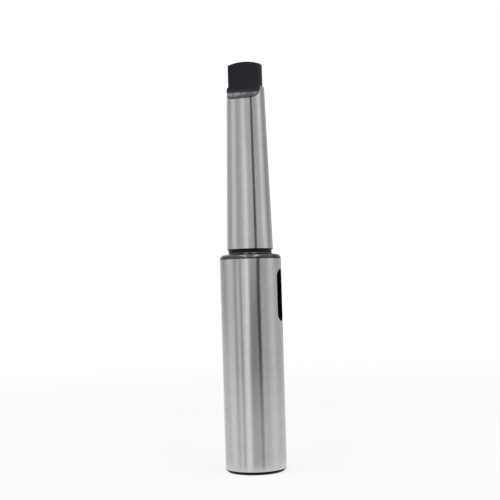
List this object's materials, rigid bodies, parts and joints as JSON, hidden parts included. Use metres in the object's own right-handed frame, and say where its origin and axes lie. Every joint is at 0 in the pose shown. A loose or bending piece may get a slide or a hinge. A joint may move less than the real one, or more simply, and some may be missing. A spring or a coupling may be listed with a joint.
{
  "type": "taper extension sleeve",
  "caption": "Steel extension sleeve: taper shank with a flat tang at one end, taper socket with a drift slot at the other, to lengthen and hold taper-shank tools in a machine spindle.",
  "frame": {"origin": "centre of the mouth's rim, on the face that the sleeve stands on", "axes": "+Z along the sleeve's axis from the socket's mouth to the tang; the drift slot runs right through along X and the tang's flats face along Y"},
  "size_m": [0.032, 0.032, 0.2139],
  "materials": {
    "ground_steel": "ground bright on the shank and the body, blackened on the tang, the neck, the slot and the edges"
  },
  "bodies": {
    "root": {"extension_sleeve": "ground_steel"}
  },
  "joints": []
}
